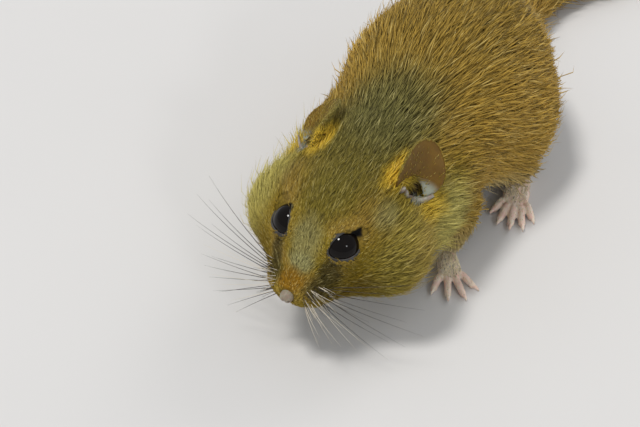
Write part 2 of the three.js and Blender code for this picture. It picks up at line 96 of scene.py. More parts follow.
# Named places of the body, in layout millimetres
NOSE_TIP = np.array([0.0, -36.6, 14.6])
EYE_RADIUS = 2.75
MOUTH_ROOT = (0.0, -31.5, 13.2)
EAR_ROOT = np.array([8.1, -15.6, 23.4])
EAR_HOLLOW = np.array([9.3, -15.2, 23.9])
EAR_HOLLOW_RADIUS = 2.2
EAR_TUFT, EAR_TUFT_RADII = [6.6, -14.6, 26.9], [1.2, 3.2, 1.6]
TAIL_LINE = np.array([
    (0, 36.0, 11.5), (-0.6, 41.0, 8.3), (-1.6, 46.5, 5.2), (-3.2, 54.0, 4.35),
    (-3.4, 63.0, 4.3), (-0.6, 72.0, 4.25), (4.4, 80.0, 4.1), (10.0, 87.0, 3.6),
])
TAIL_CORE = 2.3
PAW = {"length": 4.6, "width": 1.9, "digits": [3.3, 4.1, 4.2, 3.4],
       "radius": 0.52, "spread": 1.15, "set_back": 0.5}
HIND_FOOT = {"length": 10.4, "width": 2.2, "digits": [3.0, 4.2, 4.6, 4.4, 3.2],
             "radius": 0.6, "spread": 1.0, "set_back": 0.9}
# Each foot: its kind, where its middle stands on the floor, and how far it turns to the side
STANCE = {
    "forepaw_left": (PAW, (13.6, -5.8), 0.7), "forepaw_right": (PAW, (-12.4, -11.0), -0.34),
    "hind_foot_left": (HIND_FOOT, (15.2, 17.6), 0.3), "hind_foot_right": (HIND_FOOT, (-15.0, 16.0), -0.34),
}
FLESH = ["head", "neck", "torso"] + [f"{leg}_{side}" for leg in ("foreleg", "hind_leg") for side in SIDES]
TAIL = ["tail_root", "tail_middle", "tail_end"]

# The camera, at the height and side from which the animal is seen
AZIMUTH, ELEVATION, ROLL = math.radians(26), math.radians(46), math.radians(5.5)
DISTANCE = 0.234
LENS, SENSOR = 90.0, 36.0
FRAME_WIDTH, FRAME_HEIGHT = 640, 427
FACE_PIXEL = (312.0, 229.5)  # where the middle of the face lies in the frame
FACE_FROM_EYES = Vector((0, -1.5, 2.1)) * MM


def placed(name, data):
    """A new object in the scene."""
    thing = bpy.data.objects.new(name, data)
    scene.collection.objects.link(thing)
    return thing


def make_camera():
    turned = (Matrix.Rotation(AZIMUTH, 3, "Z") @ Matrix.Rotation(math.pi / 2 - ELEVATION, 3, "X")
              @ Matrix.Rotation(ROLL, 3, "Z"))
    right, up, back = turned.transposed()
    face = (middle_of("eye_left") + middle_of("eye_right")) / 2 + FACE_FROM_EYES
    pixel = DISTANCE * SENSOR / LENS / FRAME_WIDTH
    centre = (face + right * (FRAME_WIDTH / 2 - FACE_PIXEL[0]) * pixel
              + up * (FACE_PIXEL[1] - FRAME_HEIGHT / 2) * pixel)
    data = bpy.data.cameras.new("camera")
    data.lens, data.sensor_width = LENS, SENSOR
    data.clip_start, data.clip_end = 0.01, 20
    camera = placed("camera", data)
    camera.matrix_world = Matrix.Translation(centre + back * DISTANCE) @ turned.to_4x4()
    scene.camera = camera


# Pieces and meshes

def piece_of(mesh, material, replaced=()):
    """A finished piece of the animal: its object, its material and what it stands for."""
    piece = placed(mesh.name, mesh)
    mesh.materials.clear()
    mesh.materials.append(material)
    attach(piece, "root")
    if replaced:
        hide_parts(*replaced)


def mesh_of(name, shape):
    """A mesh from a bmesh, with its faces turned outwards."""
    bmesh.ops.recalc_face_normals(shape, faces=shape.faces)
    mesh = bpy.data.meshes.new(name)
    shape.to_mesh(mesh)
    shape.free()
    mesh.shade_smooth()
    return mesh


def finished(mesh, *modifiers):
    """A mesh after modifiers, given as a kind and its settings, have been applied to it."""
    carrier = placed(mesh.name + "_in_work", mesh)
    for kind, settings in modifiers:
        modifier = carrier.modifiers.new(kind.lower(), kind)
        for key, value in settings.items():
            setattr(modifier, key, value)
    graph = bpy.context.evaluated_depsgraph_get()
    made = bpy.data.meshes.new_from_object(carrier.evaluated_get(graph))
    name = mesh.name
    bpy.data.objects.remove(carrier)
    bpy.data.meshes.remove(mesh)
    made.name = name
    made.shade_smooth()
    return made


def remeshed(name, shape, voxel, passes):
    """A mesh with even, smoothed faces in place of a bmesh."""
    return finished(mesh_of(name, shape), ("REMESH", {"mode": "VOXEL", "voxel_size": voxel}),
                    ("SMOOTH", {"factor": 0.5, "iterations": passes}))


def swollen(nodes, growth):
    """Copies of solids in one bmesh, each swollen a little so that the gaps between them close."""
    whole = bmesh.new()
    for node in nodes:
        solid = bmesh.new()
        solid.from_mesh(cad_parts[node].data)
        bmesh.ops.remove_doubles(solid, verts=solid.verts, dist=1e-6)
        solid.normal_update()
        for vert in solid.verts:
            vert.co += vert.normal * growth
        copy = bpy.data.meshes.new(node + "_swollen")
        solid.to_mesh(copy)
        solid.free()
        whole.from_mesh(copy)
        bpy.data.meshes.remove(copy)
    return whole


def ring_tube(shape, path, radii, sides):
    """A closed tube: a ring at each point of the path, bridged to the next, with capped ends."""
    last = len(path) - 1
    before = None
    for i, (point, radius) in enumerate(zip(path, radii)):
        heading = path[min(i + 1, last)] - path[max(i - 1, 0)]
        place = Matrix.Translation(point) @ heading.to_track_quat("Z", "Y").to_matrix().to_4x4()
        ring = bmesh.ops.create_circle(shape, cap_ends=i in (0, last), segments=sides,
                                       radius=radius, matrix=place)["verts"]
        edges = [e for e in {e for v in ring for e in v.link_edges} if all(v in ring for v in e.verts)]
        if before:
            bmesh.ops.bridge_loops(shape, edges=before + edges)
        before = edges


def curve_through(points, count):
    """Evenly numbered points on a smooth curve through given ones."""
    points = np.asarray(points, float)
    padded = np.vstack([2 * points[0] - points[1], points, 2 * points[-1] - points[-2]])
    made = []
    for share in np.linspace(0, len(points) - 1, count):
        i = min(int(share), len(points) - 2)
        t = share - i
        a, b, c, d = padded[i:i + 4]
        made.append(0.5 * ((2 * b) + (c - a) * t + (2 * a - 5 * b + 4 * c - d) * t * t
                           + (3 * b - a - 3 * c + d) * t ** 3))
    return np.array(made)


def rows_of(mesh):
    """The vertices of a mesh and their normals."""
    found = []
    for items, key in ((mesh.vertices, "co"), (mesh.vertex_normals, "vector")):
        rows = np.empty(len(items) * 3)
        items.foreach_get(key, rows)
        found.append(rows.reshape(-1, 3))
    return found


def set_vertices(mesh, rows):
    mesh.vertices.foreach_set("co", rows.ravel())
    mesh.update()


# The skin

SKIN_SWELL = 0.22 * MM
SKIN_VOXEL = 0.36 * MM


def leg_share(p):
    """1 on the lower legs and 0 elsewhere."""
    x, y, z = on_left(p).T
    fore = smooth(7.6, 9.4, x) * smooth(10.5, 8.0, z) * smooth(6.0, 3.5, y) * smooth(-19, -15, y)
    hind = smooth(8.6, 10.4, x) * smooth(7.0, 5.2, z) * smooth(6.0, 8.0, y) * smooth(26.5, 23.5, y)
    return np.clip(fore + hind, 0, 1)


def tail_share(p):
    return smooth(34.0, 38.5, p[:, 1])


def coat_depth(p):
    """How far the coat stands over the skin, in millimetres."""
    head = np.interp(from_nose(p), [0, 3, 8, 14, 24], [0.08, 0.16, 0.34, 0.5, 0.7])
    depth = np.interp(p[:, 1], [-16, -8, 2, 30], [0, 0.8, 1.05, 1.0])
    depth = np.where(p[:, 1] < -16, head, np.maximum(head, depth))
    legs = leg_share(p)
    distance, _ = eye_field(p)
    return (depth * (1 - legs) + 0.35 * legs) * np.interp(distance, [3.2, 5.0], [0.0, 1.0])


EYE_LOOK = np.array([0.62, -0.4, 0.67])
MUZZLE_WAY = np.array([-0.38, -0.9, -0.17])
LID_HALF_HEIGHT, LID_FRONT, LID_CORNER = 1.75, 2.62, 2.5
# The point of the almond: the turn it lies at, how far it is drawn out, and how wide it is
CORNER_TURN, CORNER_POINT, CORNER_SPREAD = 2.85, 0.26, 0.26
BARE_ROUND_EYE = 0.32
LIP_DEPTH, LIP_WIDTH = 0.55, 0.34
CLEFT_DEPTH, CLEFT_WIDTH = 0.3, 0.28


def eye_axes(side):
    """Out of the eye, forward along the muzzle and up over the brow, for the eye on one side."""
    out = unit(EYE_LOOK * [side, 1, 1])
    muzzle = MUZZLE_WAY * [side, 1, 1]
    forward = unit(muzzle - out * (muzzle @ out))
    return out, forward, np.cross(forward, out) * side


def lid_reach(turn):
    """The half opening between the lids in millimetres: an almond with its point at the back."""
    forward, up = np.cos(turn), np.sin(turn)
    along = np.where(forward > 0, LID_FRONT, LID_CORNER)
    plain = 1 / np.hypot(forward / along, up / LID_HALF_HEIGHT)
    away = np.arctan2(np.sin(turn - CORNER_TURN), np.cos(turn - CORNER_TURN))
    return plain * (1 + CORNER_POINT * np.exp(-(away / CORNER_SPREAD) ** 2))


EYES = {side: layout(middle_of(f"eye_{name}"))[0] for name, side in SIDES.items()}


def eye_field(p):
    """The distance to the nearer eye's centre, and the direction away from it, for layout points."""
    near = np.where((p[:, 0] > 0)[:, None], p - EYES[1], p - EYES[-1])
    return lengths(near), unit(near)


def beyond_lids(p):
    """How far layout points lie outside the opening between the lids, in millimetres."""
    beyond = np.full(len(p), 10.0)
    for side in EYES:
        mine = p[:, 0] * side > 0
        out, forward, up = eye_axes(side)
        away = p[mine] - EYES[side]
        turn = np.arctan2(away @ up, away @ forward)
        aside = np.hypot(away @ up, away @ forward)
        beyond[mine] = aside - lid_reach(turn) + 10 * np.maximum(0, -(away @ out))
    return beyond


def mouth_paths(tree):
    """The line between the lips, and the cleft from it up to the nose, found on the skin."""
    root = at(*MOUTH_ROOT)
    half = [(1.2, -4.0, -1.9), (2.9, -3.6, -2.5), (4.6, -2.6, -2.4), (5.2, -1.2, -2.0)]
    lips = [(-x, y, z) for x, y, z in half[::-1]] + [(0, -4.0, -1.6)] + half
    cleft = [(0, -4.0, rise) for rise in (-1.6, -1.0, -0.4)]
    found = []
    for ways in (lips, cleft):
        points = []
        for way in ways:
            outside = root + Vector(way).normalized() * 0.02
            points.append(tree.ray_cast(outside, (root - outside).normalized())[0])
        found.append(curve_through(layout(points), 8 * len(points)))
    return found


def gaps(p, line):
    """The distances from each layout point to all the points of a line."""
    return np.linalg.norm(p[:, None] - line, axis=2)


def shape_face(mesh):
    """Presses the mouth line and the cleft into the muzzle, and folds the skin round the eyes."""
    rows, normals = rows_of(mesh)
    p = layout(rows)
    lips, cleft = mouth_paths(BVHTree.FromPolygons(rows.tolist(), [f.vertices[:] for f in mesh.polygons]))
    face = p[:, 1] < -24
    push = np.zeros(len(p))
    to_lips = gaps(p[face], lips).min(1)
    to_cleft = gaps(p[face], cleft).min(1)
    push[face] -= LIP_DEPTH * np.exp(-(to_lips / LIP_WIDTH) ** 2)
    push[face] -= CLEFT_DEPTH * np.exp(-(to_cleft / CLEFT_WIDTH) ** 2)
    # The lips swell a little on both sides of their line.
    push[face] += 0.12 * np.exp(-((to_lips - 0.75) / 0.35) ** 2)
    rows = rows + normals * push[:, None] * MM
    # Between the lids the skin lies behind the eyeball.
    p = layout(rows)
    distance, away = eye_field(p)
    opened = smooth(0.55, 0.1, beyond_lids(p)) * (distance < 4.6)
    behind = opened * np.maximum(0, distance - 2.4)
    set_vertices(mesh, rows - away * behind[:, None] * MM)
    return lips


def press_ear_hollows(mesh):
    """Sinks the skin inside the cup of each ear."""
    rows, normals = rows_of(mesh)
    p = layout(rows)
    from_hollow = lengths(on_left(p) - EAR_HOLLOW)
    depth = 1.7 * np.exp(-(from_hollow / 1.5) ** 2)
    set_vertices(mesh, rows - normals * depth[:, None] * MM)


def make_skin():
    """One skin over head, neck, trunk, legs and the tail's core, inside the solids by the coat's depth."""
    shape = swollen(FLESH, SKIN_SWELL)
    path = [at(*point) for point in curve_through(TAIL_LINE, 40)]
    radii = []
    for share in np.linspace(0, 1, len(path)):
        rounding = math.sqrt(max(0.05, 1 - max(0, share - 0.93) ** 2 / 0.0052))
        radii.append((TAIL_CORE * (1.18 - 0.46 * share) * rounding + 0.22) * MM)
    ring_tube(shape, path, radii, 20)
    mesh = remeshed("skin", shape, SKIN_VOXEL, 9)
    rows, normals = rows_of(mesh)
    depth = coat_depth(layout(rows)) * (1 - tail_share(layout(rows))) * MM
    set_vertices(mesh, rows - normals * (depth + SKIN_SWELL)[:, None])
    return mesh, shape_face(mesh)


# Materials

def new_material(name):
    material = bpy.data.materials.new(name)
    material.use_nodes = True
    return material, material.node_tree


def node_of(tree, kind, inputs, **settings):
    """The outputs of a new node, whose inputs are sockets or constants."""
    node = tree.nodes.new("ShaderNode" + kind)
    for key, value in settings.items():
        setattr(node, key, value)
    for key, value in inputs.items():
        if isinstance(value, bpy.types.NodeSocket):
            tree.links.new(value, node.inputs[key])
        else:
            node.inputs[key].default_value = value
    return node.outputs


def object_place(tree):
    return node_of(tree, "TexCoord", {})["Object"]


def math_node(tree, operation, *values):
    return node_of(tree, "Math", dict(enumerate(values)), operation=operation)["Value"]


def vector_node(tree, operation, *values):
    return node_of(tree, "VectorMath", dict(enumerate(values)), operation=operation)["Vector"]


def mixed(tree, share, first, second, mode="MIX"):
    first, second = ((*tint, 1.0) if isinstance(tint, tuple) else tint for tint in (first, second))
    inputs = {"Factor": share, 6: first, 7: second}
    return node_of(tree, "Mix", inputs, data_type="RGBA", blend_type=mode)[2]


def noise(tree, coordinates, scale, detail=3.0, roughness=0.55, output="Fac"):
    inputs = {"Vector": coordinates, "Scale": scale, "Detail": detail, "Roughness": roughness}
    return node_of(tree, "TexNoise", inputs)[output]


def ranged(tree, value, low, high, to_low=0.0, to_high=1.0):
    inputs = {"Value": value, "From Min": low, "From Max": high, "To Min": to_low, "To Max": to_high}
    return node_of(tree, "MapRange", inputs, interpolation_type="SMOOTHSTEP")["Result"]


def bump(tree, height, distance, strength):
    inputs = {"Height": height, "Distance": distance, "Strength": strength}
    return node_of(tree, "Bump", inputs)["Normal"]


def patch(tree, coordinates, centre, radii, edge):
    """1 inside an ellipsoid given in layout millimetres, fading to 0 across its edge."""
    away = vector_node(tree, "SUBTRACT", coordinates, at(*centre))
    scaled = vector_node(tree, "DIVIDE", away, [r * MM for r in radii])
    length = node_of(tree, "VectorMath", {0: scaled}, operation="LENGTH")["Value"]
    return ranged(tree, length, 1 - edge, 1 + edge, 1.0, 0.0)


def tinted(tree, coordinates, colour, patches):
    """A colour under patches, each given by its tint, centre, radii, edge and strength."""
    for tint, centre, radii, edge, strength in patches:
        share = math_node(tree, "MULTIPLY", patch(tree, coordinates, centre, radii, edge), strength)
        colour = mixed(tree, share, colour, tint)
    return colour


def shade(material, colour, settings, normal=None):
    """A finished material: its colour, its constants by their sockets' names, and its relief."""
    tree = material.node_tree
    inputs = tree.nodes["Principled BSDF"].inputs
    tree.links.new(colour, inputs["Base Color"])
    for socket, value in settings.items():
        inputs[socket].default_value = value
    if normal is not None:
        tree.links.new(normal, inputs["Normal"])
    return material


# The coat's colours, and the painted shades among them
GOLD = (0.27, 0.195, 0.017)
CROWN = (0.22, 0.18, 0.033)
BACK = (0.36, 0.235, 0.042)
FLANK = (0.54, 0.34, 0.062)
NAPE = (0.18, 0.168, 0.056)
CREAM = (0.56, 0.49, 0.14)
BELLY = (0.60, 0.50, 0.26)
ORANGE = (0.30, 0.155, 0.010)
EAR_GOLD = (0.80, 0.55, 0.055)
GREY = (0.35, 0.335, 0.15)
CHEEK = (0.25, 0.17, 0.010)
# Painted shade on the lower cheeks
LOWER_CHEEK_SHADE = (0.15, 0.095, 0.010)
SHADOW = (0.04, 0.034, 0.012)
TAIL_GOLD = (0.44, 0.27, 0.052)
PALE_HAIR = (0.88, 0.77, 0.56)
EAR_BASE = (0.34, 0.37, 0.30)
# Painted shade in the sunken hollow of each ear
EAR_HOLLOW_SHADE = (0.06, 0.035, 0.018)
# Painted shade for the grooves at the corners of the eyes
CORNER_SHADE = (0.006, 0.005, 0.004)
# Painted shade in the notch in front of each ear
EAR_NOTCH_SHADE = (0.04, 0.025, 0.012)
DARK_HAIR = (0.05, 0.04, 0.018)
LIGHT_HAIR = (0.62, 0.54, 0.24)

# Painted shade in the pointed grooves at the corners of the eyes, each a centre and a radius: the left one in
# two steps
EYE_CORNER_SHADES = (((5.95, -26.95, 23.4), 0.8), ((6.25, -26.6, 23.85), 0.5), ((-4.35, -28.5, 24.4), 0.75))

# How far the edges of the coloured and shaded patches are stirred, in metres
STIR = 0.0022


def make_coat_colours_and_shade():
    """The coat's own colours and the painted shade laid over them, which skin and coat share, as one group of
    nodes that gives a colour.
    """
    tree = bpy.data.node_groups.new("dormouse_coat_colours_and_shade", "ShaderNodeTree")
    tree.interface.new_socket("Colour", in_out="OUTPUT", socket_type="NodeSocketColor")
    place = object_place(tree)
    stir = noise(tree, place, 260.0, 2.0, output="Color")
    moved = vector_node(tree, "ADD", place, (-STIR / 2,) * 3)
    spot = vector_node(tree, "MULTIPLY_ADD", stir, (STIR,) * 3, moved)
    colour = mixed(tree, ranged(tree, noise(tree, place, 120.0), 0.35, 0.65), GOLD, BACK)
    patches = [
        (FLANK, (0, 23, 15), (30, 30, 30), 0.25, 0.95),
        (BACK, (0, 15, 36), (14, 34, 14), 0.6, 0.85),
        (BELLY, (0, 9, 1.0), (19.0, 31, 9.0), 0.35, 0.95),
        (BELLY, (0, -22, 7.5), (9.0, 13.5, 6.0), 0.35, 0.95),
        (CROWN, (0, -15, 30), (8.0, 12, 7.5), 0.5, 0.9),
        (CROWN, (0, -26, 27), (3.6, 5.0, 3.6), 0.55, 0.6),
        (NAPE, (0, -7, 31), (8.5, 9, 5.5), 0.6, 0.8),
        (GREY, (0, -30.8, 22.6), (2.3, 3.4, 3.2), 0.5, 0.6),
        (GREY, (0, -32.6, 19.4), (1.9, 1.7, 1.6), 0.5, 0.8),
        (ORANGE, (-0.2, -34.5, 17.1), (2.3, 1.9, 1.7), 0.4, 0.95),
        (TAIL_GOLD, (0, 62, 4), (30, 26, 12), 0.2, 0.9),
    ]
    for side in SIDES.values():
        patches += [
            (CHEEK, (10.5 * side, -26.5, 19.0), (4.5, 5.0, 5.5), 0.5, 0.8),
            # Painted shade on the lower cheek
            (LOWER_CHEEK_SHADE, (8.0 * side, -28.5, 14.8), (4.5, 4.0, 3.2), 0.5, 0.7),
            (CREAM, (12.3 * side, -20.0, 18.5), (4.6, 8.0, 7.5), 0.5, 0.3 if side > 0 else 0.9),
            (CREAM, (13.3 * side, -9.5, 15.0), (4.2, 5.8, 7.5), 0.5, 0.95),
            (EAR_GOLD, (6.5 * side, -15.4, 27.1), (1.8, 4.0, 2.5), 0.45, 0.95),
            (EAR_GOLD, (11.3 * side, -13.4, 20.8), (2.6, 3.2, 2.6), 0.5, 0.8),
            (EAR_BASE, (9.5 * side, -14.9, 23.0), (1.5, 1.5, 1.2), 0.2, 1.0),
            # Painted shade in the hollow of the ear
            (EAR_HOLLOW_SHADE, (8.3 * side, -14.0, 23.4), (1.7, 1.6, 1.9), 0.3, 0.95),
            (GREY, (8.0 * side, -22.2, 24.6), (1.9, 2.5, 1.9), 0.6, 0.5 if side > 0 else 0.2),
            (SHADOW, (4.4 * side, -31.4, 18.3), (1.6, 1.8, 2.3), 0.5, 0.8),
            (SHADOW, (3.5 * side, -33.2, 15.9), (1.8, 2.1, 1.8), 0.5, 0.8),
        ]
    # Painted shade at the pointed corners of the eyes
    for corner, radius in EYE_CORNER_SHADES:
        patches.append((CORNER_SHADE, corner, (radius,) * 3, 0.3, 1.0))
    for _, centre, _ in STANCE.values():
        patches.append((PALE_HAIR, (*centre, 0.6), (5.5, 7.5, 3.4), 0.35, 0.9))
    output = tree.nodes.new("NodeGroupOutput")
    tree.links.new(tinted(tree, spot, colour, patches), output.inputs[0])
    return tree


def coat_colours_and_shade_in(tree, group):
    return node_of(tree, "Group", {}, node_tree=group)[0]


def attribute(tree, name):
    return node_of(tree, "Attribute", {}, attribute_name=name)["Fac"]


def make_skin_material(coat_colours_and_shade):
    material, tree = new_material("furred_skin")
    grain = noise(tree, object_place(tree), 2400.0, 4.0, 0.7)
    # Painted shade: the skin under the coat is darkened all over, unevenly with the grain
    shade_under_coat = ranged(tree, grain, 0.3, 0.7, 0.35, 0.8)
    colour = mixed(tree, 1.0, coat_colours_and_shade_in(tree, coat_colours_and_shade), shade_under_coat, "MULTIPLY")
    return shade(material, colour, {"Roughness": 0.85, "Specular IOR Level": 0.2},
                 bump(tree, grain, 0.0004, 0.7))


def make_fur_material(coat_colours_and_shade):
    """Fur: painted shade towards each tuft's root and a little painted light at its tip, a few tufts nearly
    black, a few pale and the rest close to each other.
    """
    material, tree = new_material("golden_fur")
    tone, along = attribute(tree, "tone"), attribute(tree, "along")
    colour = coat_colours_and_shade_in(tree, coat_colours_and_shade)
    colour = mixed(tree, ranged(tree, tone, 0.84, 1.0, 0.0, 0.6), colour, DARK_HAIR)
    colour = mixed(tree, ranged(tree, tone, 0.0, 0.22, 0.3, 0.0), colour, LIGHT_HAIR)
    # Painted shade deep in the coat at the root, and painted light at the tip
    light = ranged(tree, along, 0.0, 0.75, 0.46, 1.15)
    spread = math_node(tree, "MULTIPLY_ADD", tone, -0.34, 1.17)
    colour = mixed(tree, 1.0, colour, math_node(tree, "MULTIPLY", light, spread), "MULTIPLY")
    return shade(material, colour, {"Roughness": 0.6, "Specular IOR Level": 0.12})


def make_eye_material():
    material, tree = new_material("black_eye")
    depth = noise(tree, object_place(tree), 900.0, 2.0)
    colour = mixed(tree, depth, (0.0025, 0.002, 0.002), (0.007, 0.0045, 0.0035))
    return shade(material, colour, {"Roughness": 0.03, "IOR": 1.33, "Specular IOR Level": 0.3})


def make_bare_skin_material(name, pale, flushed, scale, roughness, depth):
    """Bare skin: pale and flushed patches, fine creases, and light that goes a little way in."""
    material, tree = new_material(name)
    place = object_place(tree)
    blotch = noise(tree, place, scale, 3.0)
    grain = noise(tree, place, scale * 9, 4.0, 0.65)
    colour = mixed(tree, ranged(tree, blotch, 0.35, 0.65), pale, flushed)
    colour = mixed(tree, ranged(tree, grain, 0.25, 0.75, 0.35, 0.0), colour, flushed)
    return shade(material, colour, {
        "Roughness": roughness, "Subsurface Weight": 0.2,
        "Subsurface Radius": (1.0, 0.35, 0.2), "Subsurface Scale": 0.0006,
    }, bump(tree, grain, depth, 0.6))


def make_plain_material(name, colour, second, roughness):
    """Claws or whiskers: two close tints that run into each other."""
    material, tree = new_material(name)
    share = noise(tree, object_place(tree), 1500.0, 2.0)
    return shade(material, mixed(tree, share, colour, second), {"Roughness": roughness})


# The coat

def surface_of(mesh):
    """A mesh as rows of places, normals and triangles, and the tree that finds the nearest place on it."""
    mesh.calc_loop_triangles()
    corners = np.empty(len(mesh.loop_triangles) * 3, np.int32)
    mesh.loop_triangles.foreach_get("vertices", corners)
    corners = corners.reshape(-1, 3)
    rows, normals = rows_of(mesh)
    return (rows, normals, corners), BVHTree.FromPolygons(rows.tolist(), corners.tolist())


def scatter(surface, density, count):
    """Random places on a surface, more of them where it is denser: as points, normals and layout points."""
    rows, normals, corners = surface
    a, b, c = (rows[corners[:, k]] for k in range(3))
    area = lengths(np.cross(b - a, c - a))
    weight = area * density(layout((a + b + c) / 3), unit(normals[corners[:, 0]]))
    chosen = rng.choice(len(corners), count, p=weight / weight.sum())
    u, v = rng.random((2, count))
    flip = u + v > 1
    u, v = np.where(flip, 1 - u, u), np.where(flip, 1 - v, v)
    shares = np.stack([1 - u - v, u, v], 1)[:, :, None]
    points = (rows[corners[chosen]] * shares).sum(1)
    return points, unit((normals[corners[chosen]] * shares).sum(1)), layout(points)


def draw(low, high, p):
    """A random number for each of the points."""
    return rng.uniform(low, high, len(p))


def on_surface(tree, points, normals):
    """The nearest places on the skin and its outward normals there."""
    found = np.empty_like(points)
    facing = np.empty_like(normals)
    for i, point in enumerate(points):
        place, normal, _, _ = tree.find_nearest(Vector(point))
        found[i], facing[i] = place, normal
    # A tuft keeps its own side of a thin form, where the nearest face may look the other way.
    turned = (facing * normals).sum(1) < 0
    facing[turned] = normals[turned]
    return found, facing


def tangent(direction, normals):
    return unit(direction - normals * (direction * normals).sum(1, keepdims=True))


# Where along a tuft its middle ring and its tip are, and their share of its full height
TUFT_STEPS = (0.5, 1.0)
TUFT_RISE = (0.66, 1.0)
ROOT_DEPTH = 0.12
PATCH_SIZE = 0.003
# Hair lower than this is spread out over the floor, and none comes nearer to it than the clearance.
NEAR_FLOOR, CLEARANCE = 0.4, 0.05


def grow_tufts(name, tree, points, normals, lie, length, lean, width, places_uv, material):
    """Tapered three-sided tufts that follow the skin, each with a root ring, a middle ring and a tip."""
    count = len(points)
    across = unit(np.cross(normals, lie))
    middle, facing, heading = points, normals, lie
    line = [points - normals * ROOT_DEPTH * MM]
    ups, sides = [normals], [across]
    before = 0.0
    for step, height in zip(TUFT_STEPS, TUFT_RISE):
        reach = (length * (step - before))[:, None]
        middle, facing = on_surface(tree, middle + heading * reach, facing)
        heading = tangent(heading, facing)
        line.append(middle + facing * (length * lean * height)[:, None])
        ups.append(facing)
        sides.append(unit(np.cross(facing, heading)))
        before = step
    rings = []
    for k, girth in enumerate((0.75, 1.0)):
        half = (width * girth / 2)[:, None]
        rings += [line[k] - sides[k] * half, line[k] + sides[k] * half, line[k] + ups[k] * half * 0.8]
    verts = np.stack(rings + [line[-1]], 1)
    low = verts[:, :, 2] < NEAR_FLOOR * MM
    soft = NEAR_FLOOR - CLEARANCE
    verts[:, :, 2][low] = (CLEARANCE + soft * np.exp((verts[:, :, 2][low] / MM - NEAR_FLOOR) / soft)) * MM
    per = verts.shape[1]
    tip = per - 1
    faces = [(0, 1, 2)]
    for i, j in ((0, 1), (1, 2), (2, 0)):
        faces += [(i, i + 3, j + 3), (i, j + 3, j), (i + 3, tip, j + 3)]
    faces = np.array(faces)
    corners = (faces[None] + (np.arange(count) * per)[:, None, None]).reshape(-1)
    mesh = bpy.data.meshes.new(name)
    mesh.vertices.add(count * per)
    mesh.vertices.foreach_set("co", verts.ravel())
    triangles = count * len(faces)
    mesh.loops.add(triangles * 3)
    mesh.loops.foreach_set("vertex_index", corners.astype(np.int32))
    mesh.polygons.add(triangles)
    mesh.polygons.foreach_set("loop_start", np.arange(triangles, dtype=np.int32) * 3)
    mesh.update(calc_edges=True)
    mesh.shade_smooth()
    along = np.repeat([0.0, *TUFT_STEPS], (3, 3, 1))
    spread = np.array([0.0, 1.0, 0.5, 0.0, 1.0, 0.5, 0.5])
    tone = np.repeat(rng.random(count), per)
    for key, values in (("tone", tone), ("along", np.tile(along, count))):
        mesh.attributes.new(key, "FLOAT", "POINT").data.foreach_set("value", values.astype(np.float32))
    # Each tuft is a small patch at its root's place on the unwrapped skin.
    corner_uv = np.stack([np.tile(spread, count), np.tile(along, count)], 1) - 0.5
    vertex_uv = np.repeat(places_uv, per, axis=0) + corner_uv * PATCH_SIZE
    layer = mesh.uv_layers.new(name="OFBake")
    layer.uv.foreach_set("vector", vertex_uv[corners].astype(np.float32).ravel())
    piece_of(mesh, material)


def along_line(p, line):
    """The number of the line's point nearest to each layout point, and the line's heading there."""
    nearest = gaps(p, line).argmin(1)
    after = np.minimum(nearest + 1, len(line) - 1)
    return nearest, unit(line[after] - line[np.maximum(nearest - 1, 0)])


def wrapped_uv(p, line):
    """An unwrap of a limb, trunk or tail: the way along its middle line, and the turn round it."""
    nearest, heading = along_line(p, line)
    away = p - line[nearest]
    forward = (away * heading).sum(1) / np.linalg.norm(line[1] - line[0])
    side = unit(np.cross(heading, [0.0, 0.0, 1.0]))
    up = np.cross(side, heading)
    turn = np.arctan2((away * side).sum(1), -(away * up).sum(1)) / (2 * math.pi) + 0.5
    along = (nearest + forward) / len(line)
    low, high = along.min(), along.max()
    return np.stack([0.004 + 0.992 * turn, 0.004 + 0.992 * (along - low) / (high - low + 1e-9)], 1)


def lie_of(p, normals):
    """Which way the fur lies at layout points: back from the nose, down the legs, along the tail."""
    head = unit(p - (NOSE_TIP + [0, -1.5, -2.0])) + [0, 0.35, 0]
    ones = np.ones(len(p))
    trunk = np.stack([0.10 * p[:, 0] / 10, ones, -0.42 * np.clip(np.abs(p[:, 0]) / 12, 0, 1)], 1)
    blend = smooth(-20.0, -8.0, p[:, 1])[:, None]
    way = head * (1 - blend) + trunk * blend
    legs = leg_share(p)[:, None]
    way = way * (1 - legs) + np.stack([0.25 * np.sign(p[:, 0]), -0.35 * ones, -ones], 1) * legs
    _, heading = along_line(p, curve_through(TAIL_LINE, 60))
    tail = tail_share(p)[:, None]
    return tangent(way * (1 - tail) + heading * tail, normals)


def parted_lie(p, normals):
    """The lie of the fur with a parting round each eye, so that no hair lies over the lids."""
    lie = lie_of(p, normals)
    distance, away = eye_field(p)
    out = tangent(away, normals)
    inward = np.minimum(0, (lie * out).sum(1, keepdims=True))
    near = np.exp(-(np.maximum(0, distance - EYE_RADIUS - 0.4) / 1.5) ** 2)[:, None]
    return tangent(lie - out * inward * near * 1.15 + out * near * 0.12, normals)


def coat_length(p):
    """The length of the hair in millimetres."""
    head = np.interp(from_nose(p), [0, 2.5, 6, 12, 18, 26], [0.45, 0.8, 1.25, 1.9, 2.5, 3.3])
    trunk = np.interp(p[:, 1], [-14, -4, 8, 34], [3.3, 4.4, 4.9, 4.6])
    trunk = trunk * np.interp(p[:, 2], [2, 9], [0.75, 1.0])
    length = np.where(p[:, 1] < -14, head, trunk)
    legs, tail = leg_share(p), tail_share(p)
    length = length * (1 - legs) + np.interp(p[:, 2], [2.6, 4, 8], [0.8, 1.3, 2.1]) * legs
    length = length * (1 - tail) + 6.2 * tail + 0.5 * cheek_share(p)
    distance, _ = eye_field(p)
    return length * np.interp(distance, [EYE_RADIUS + 0.3, EYE_RADIUS + 3.0], [0.35, 1.0])


